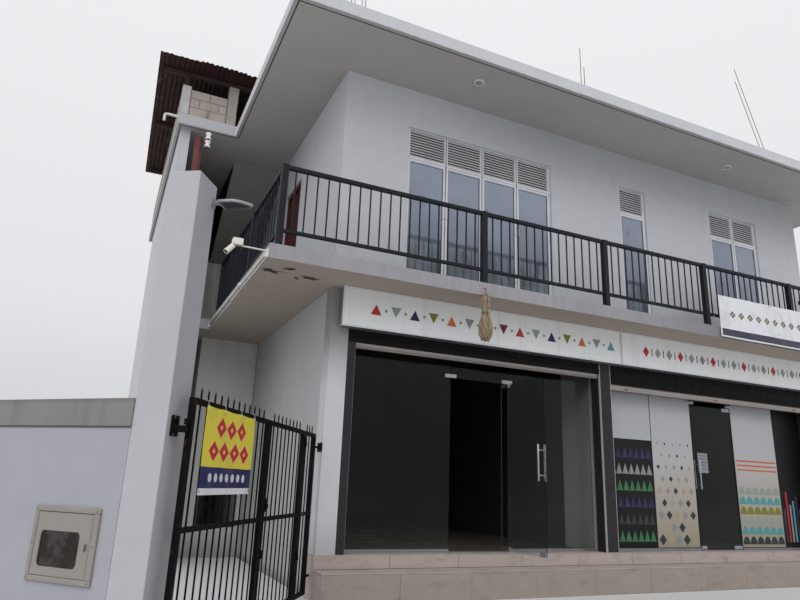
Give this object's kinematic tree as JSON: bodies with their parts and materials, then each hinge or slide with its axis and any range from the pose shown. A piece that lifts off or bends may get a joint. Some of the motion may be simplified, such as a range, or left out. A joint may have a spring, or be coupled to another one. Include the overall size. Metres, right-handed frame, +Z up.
{
  "type": "corner shop building",
  "caption": "Two-storey corner shop building with glazed shops, wrap-round balcony, deep flat roof and a steel side gate on a tall pier.",
  "frame": {"origin": "middle of the plinth's underside, at the lowest ground level", "axes": "+X along the shop front to the right, +Y into the building's depth, +Z up"},
  "size_m": [13.2309, 11.1492, 9.2663],
  "materials": {
    "white_wall": "painted cement plaster, matt",
    "bare_cement": "grey cement render, matt",
    "soffit_concrete": "painted concrete, matt, weathered",
    "blockwork": "bare cement blocks",
    "step_tile": "beige floor tile, satin",
    "dark_steel_trim": "dark brown paint, satin",
    "roller_bar": "brown anodised, satin",
    "clear_glass": "clear toughened glass, polished",
    "window_glass": "tinted glass, polished",
    "door_fittings": "satin steel",
    "floor_channel": "satin aluminium",
    "sign_sheet": "white printed sheet, bare, satin",
    "white_frame": "white powder coat, satin",
    "red_timber": "dark red-brown varnish",
    "railing_steel": "dark slate paint, satin",
    "rusty_sheet": "rusty corrugated steel",
    "rusty_bar": "rusted reinforcing steel",
    "camera_plastic": "white plastic",
    "straw": "dried straw and net",
    "gate_steel": "black paint, satin, worn",
    "banner_yellow": "printed flex sheet, plain bands",
    "meter_cream": "cream moulded plastic, weathered",
    "lamp_grey": "grey paint",
    "white_pvc": "white plastic pipe, weathered",
    "red_oxide": "red oxide paint over rust"
  },
  "bodies": {
    "building": {"plinth": "step_tile", "front_step": "step_tile", "corner_column": "white_wall", "shutter_guides": "dark_steel_trim", "shutter_boxes": "dark_steel_trim", "shutter_bottom_bars": "roller_bar", "partition_wall": "white_wall", "shop1_fixed_glass": "clear_glass", "shop2_fixed_glass": "clear_glass", "glass_channels": "floor_channel", "signboards": "sign_sheet", "ground_left_wall": "white_wall", "ground_right_wall": "white_wall", "ground_rear_wall": "white_wall", "alley_end_wall": "bare_cement", "first_floor_slab": "soffit_concrete", "upper_front_wall": "white_wall", "upper_left_wall": "white_wall", "upper_right_wall": "white_wall", "upper_rear_wall": "white_wall", "roof_stair": "soffit_concrete", "bay_left_wall": "white_wall", "bay_inner_wall": "bare_cement", "bay_rear_wall": "white_wall", "front_window_frames": "white_frame", "rear_window_frames": "white_frame", "window_glass": "window_glass", "side_door": "red_timber", "bay_parapet": "bare_cement", "front_railing": "railing_steel", "side_railing": "railing_steel", "end_railing": "railing_steel", "balcony_banner": "sign_sheet", "roof_slab": "soffit_concrete", "roof_parapet": "blockwork", "roof_canopy": "rusty_sheet", "starter_bars": "rusty_bar", "security_camera": "camera_plastic", "hanging_charm": "straw", "gate_pier": "white_wall", "pier_lamp": "lamp_grey", "boundary_wall": "white_wall", "meter_box": "meter_cream", "gate_fixed_panel": "gate_steel", "pier_hinges": "gate_steel", "service_mast": "red_oxide", "edge_conduits": "white_pvc", "soffit_lamps": "white_pvc", "parapet_spout": "white_pvc"},
    "shop1_door": {"shop1_door_glass": "clear_glass", "shop1_door_fittings": "door_fittings"},
    "shop2_door": {"shop2_door_glass": "clear_glass", "shop2_door_fittings": "door_fittings"},
    "wicket": {"gate_wicket_leaf": "gate_steel"},
    "wide_leaf": {"gate_wide_leaf": "gate_steel", "gate_banner": "banner_yellow"}
  },
  "joints": [
    {"name": "shop1_door_swing", "type": "hinge", "parent": "building", "child": "shop1_door", "pos_m": [-1.82, -3.72, 0.45], "axis": [0, 0, 1], "range_deg": [-93, 5]},
    {"name": "shop2_door_swing", "type": "hinge", "parent": "building", "child": "shop2_door", "pos_m": [2.5, -3.72, 0.45], "axis": [0, 0, 1], "range_deg": [0, 95]},
    {"name": "wicket_swing", "type": "hinge", "parent": "building", "child": "wicket", "pos_m": [-4.76207, -4.39269, 0.45], "axis": [0, 0, 1], "range_deg": [0, 95]},
    {"name": "wide_leaf_swing", "type": "hinge", "parent": "building", "child": "wide_leaf", "pos_m": [-6.25901, -6.65798, 0.45], "axis": [0, 0, -1], "range_deg": [0, 95]}
  ]
}
